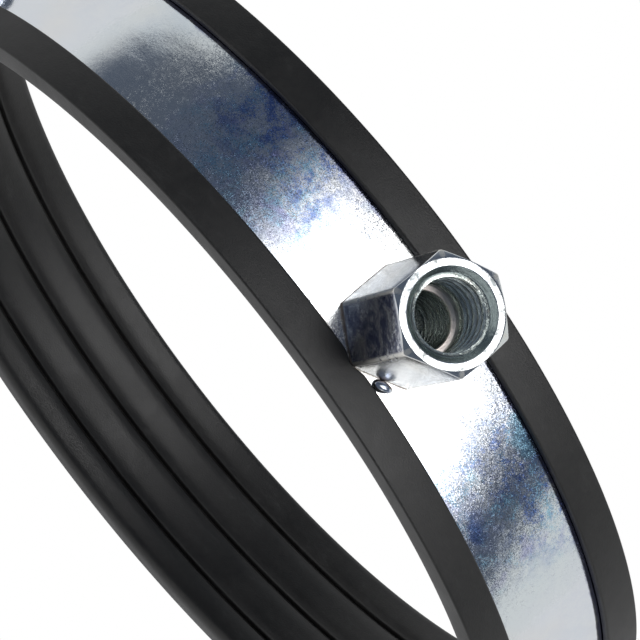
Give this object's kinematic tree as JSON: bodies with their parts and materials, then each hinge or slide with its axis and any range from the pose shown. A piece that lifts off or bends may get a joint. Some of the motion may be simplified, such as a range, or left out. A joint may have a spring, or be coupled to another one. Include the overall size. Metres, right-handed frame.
{
  "type": "rubber lined pipe clamp",
  "caption": "Split steel pipe clamp with a ribbed rubber lining, welded hexagon boss with a stepped thread, and side screws that draw its halves together.",
  "frame": {"origin": "centre of the pipe seat, midway along its width", "axes": "+Y along the pipe, +Z from the pipe's centre out through the threaded boss, +X towards the right-hand ears"},
  "size_m": [0.1722, 0.024, 0.1503],
  "materials": {
    "zinc_plate": "blue passivated zinc plate, satin with cloudy tints",
    "boss_zinc": "bright zinc plate on turned and drawn faces",
    "weld_metal": "glossy zinc plated weld",
    "screw_zinc": "bright zinc plate",
    "lining_rubber": "matt extruded rubber",
    "keeper_plastic": "natural polyethylene"
  },
  "bodies": {
    "upper_half": {"upper_band": "zinc_plate", "upper_lining": "lining_rubber", "boss_nut": "boss_zinc", "weld_bead_front": "weld_metal", "weld_bead_back": "weld_metal"},
    "lower_half": {"lower_band": "zinc_plate", "lower_lining": "lining_rubber"},
    "right_screw": {"closing_screw_right": "screw_zinc", "keeper_washer_right": "keeper_plastic"},
    "left_screw": {"closing_screw_left": "screw_zinc", "keeper_washer_left": "keeper_plastic"}
  },
  "joints": [
    {"name": "lower_half_travel", "type": "slide", "parent": "upper_half", "child": "lower_half", "axis": [0, 0, -1], "range_m": [-0.003, 0.014]},
    {"name": "right_screw_turn", "type": "hinge", "parent": "lower_half", "child": "right_screw", "pos_m": [0.0776, 0, 0], "axis": [0, 0, 1], "range_deg": [-5041, 1081]},
    {"name": "left_screw_turn", "type": "hinge", "parent": "lower_half", "child": "left_screw", "pos_m": [-0.0776, 0, 0], "axis": [0, 0, 1], "range_deg": [-5041, 1081]}
  ],
  "couplings": [
    {"joint": "right_screw_turn", "follows": "lower_half_travel", "rad_per_m": -6283.2},
    {"joint": "left_screw_turn", "follows": "lower_half_travel", "rad_per_m": -6283.2}
  ]
}
